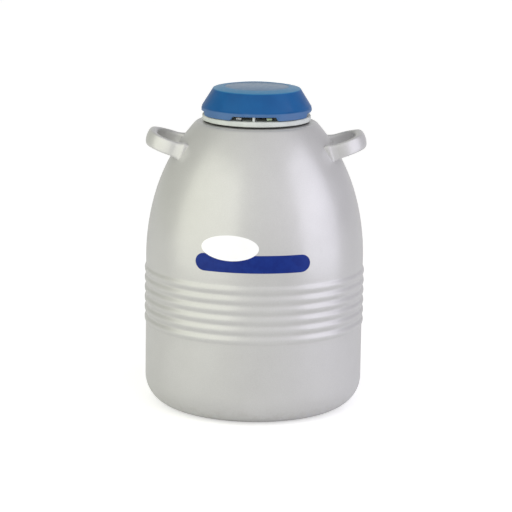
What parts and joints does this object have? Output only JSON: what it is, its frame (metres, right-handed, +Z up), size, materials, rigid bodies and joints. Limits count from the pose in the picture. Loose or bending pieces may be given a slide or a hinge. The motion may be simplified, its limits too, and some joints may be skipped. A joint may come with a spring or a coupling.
{
  "type": "liquid nitrogen dewar",
  "caption": "Wide-shouldered storage dewar with a ribbed vacuum-insulated shell, two loop handles, a foam-plug cap and hooked canisters hung from an index ring.",
  "frame": {"origin": "centre of the base, on the floor", "axes": "+Z up along the vessel's axis; the label faces -Y; the handles are at +X and -X"},
  "size_m": [0.4715, 0.4716, 0.6876],
  "materials": {
    "shell_paint": "satin pearl grey paint with a clear coat",
    "neck_laminate": "satin glass-fibre laminate",
    "gasket_rubber": "matte black",
    "ring_plastic": "semi-gloss white",
    "vessel_aluminium": "satin spun sheet",
    "canister_aluminium": "satin drawn tube",
    "pack_mesh": "fine woven mesh",
    "foil_blanket": "crinkled aluminised foil and paper",
    "brass_plug": "satin turned",
    "cover_rubber": "matte black",
    "label_white": "satin printed film",
    "label_blue": "satin printed film",
    "cap_plastic": "semi-gloss moulded blue",
    "disc_plastic": "satin blue",
    "white_foam": "matte moulded foam",
    "stainless": "brushed",
    "tag_green": "satin pale green",
    "tag_grey": "satin grey"
  },
  "bodies": {
    "root": {"outer_base": "shell_paint", "outer_body": "shell_paint", "outer_dome": "shell_paint", "dome_collar": "shell_paint", "handle_left": "shell_paint", "handle_right": "shell_paint", "neck_tube": "neck_laminate", "neck_gasket": "gasket_rubber", "index_ring": "ring_plastic", "slot_dividers": "ring_plastic", "inner_vessel_lower": "vessel_aluminium", "inner_vessel_wall": "vessel_aluminium", "inner_vessel_upper": "vessel_aluminium", "vessel_collar": "vessel_aluminium", "adsorbent_pack": "pack_mesh", "insulation_blanket": "foil_blanket", "getter_pack": "pack_mesh", "vacuum_port": "vessel_aluminium", "vacuum_plug": "brass_plug", "vacuum_o_ring": "gasket_rubber", "label_oval": "label_white", "label_band": "label_blue", "canister_spider": "vessel_aluminium"},
    "lid": {"lid_cap": "cap_plastic", "lid_disc": "disc_plastic", "lid_foam": "white_foam", "lid_base_plate": "ring_plastic", "neck_plug": "white_foam", "lid_screws": "stainless"},
    "vacuum_cover": {"vacuum_cover": "cover_rubber"},
    "canister_1": {"canister_cup_1": "canister_aluminium", "canister_handle_1": "stainless", "canister_tag_1": "tag_green"},
    "canister_2": {"canister_cup_2": "canister_aluminium", "canister_handle_2": "stainless", "canister_tag_2": "tag_grey"},
    "canister_3": {"canister_cup_3": "canister_aluminium", "canister_handle_3": "stainless", "canister_tag_3": "tag_grey"},
    "canister_4": {"canister_cup_4": "canister_aluminium", "canister_handle_4": "stainless", "canister_tag_4": "tag_grey"},
    "canister_5": {"canister_cup_5": "canister_aluminium", "canister_handle_5": "stainless", "canister_tag_5": "tag_grey"},
    "canister_6": {"canister_cup_6": "canister_aluminium", "canister_handle_6": "stainless", "canister_tag_6": "tag_grey"},
    "canister_7": {"canister_cup_7": "canister_aluminium", "canister_handle_7": "stainless", "canister_tag_7": "tag_grey"},
    "canister_8": {"canister_cup_8": "canister_aluminium", "canister_handle_8": "stainless", "canister_tag_8": "tag_grey"},
    "canister_9": {"canister_cup_9": "canister_aluminium", "canister_handle_9": "stainless", "canister_tag_9": "tag_grey"},
    "canister_10": {"canister_cup_10": "canister_aluminium", "canister_handle_10": "stainless", "canister_tag_10": "tag_grey"}
  },
  "joints": [
    {"name": "lid_lift", "type": "slide", "parent": "root", "child": "lid", "axis": [0, 0, 1], "range_m": [0, 0.16]},
    {"name": "vacuum_cover_pull", "type": "slide", "parent": "root", "child": "vacuum_cover", "axis": [0, 0.8439, 0.5365], "range_m": [0, 0.03]},
    {"name": "canister_1_lift", "type": "slide", "parent": "root", "child": "canister_1", "axis": [0, 0, 1], "range_m": [0, 0.005]},
    {"name": "canister_2_lift", "type": "slide", "parent": "root", "child": "canister_2", "axis": [0, 0, 1], "range_m": [0, 0.005]},
    {"name": "canister_3_lift", "type": "slide", "parent": "root", "child": "canister_3", "axis": [0, 0, 1], "range_m": [0, 0.005]},
    {"name": "canister_4_lift", "type": "slide", "parent": "root", "child": "canister_4", "axis": [0, 0, 1], "range_m": [0, 0.005]},
    {"name": "canister_5_lift", "type": "slide", "parent": "root", "child": "canister_5", "axis": [0, 0, 1], "range_m": [0, 0.005]},
    {"name": "canister_6_lift", "type": "slide", "parent": "root", "child": "canister_6", "axis": [0, 0, 1], "range_m": [0, 0.005]},
    {"name": "canister_7_lift", "type": "slide", "parent": "root", "child": "canister_7", "axis": [0, 0, 1], "range_m": [0, 0.005]},
    {"name": "canister_8_lift", "type": "slide", "parent": "root", "child": "canister_8", "axis": [0, 0, 1], "range_m": [0, 0.005]},
    {"name": "canister_9_lift", "type": "slide", "parent": "root", "child": "canister_9", "axis": [0, 0, 1], "range_m": [0, 0.005]},
    {"name": "canister_10_lift", "type": "slide", "parent": "root", "child": "canister_10", "axis": [0, 0, 1], "range_m": [0, 0.005]}
  ]
}
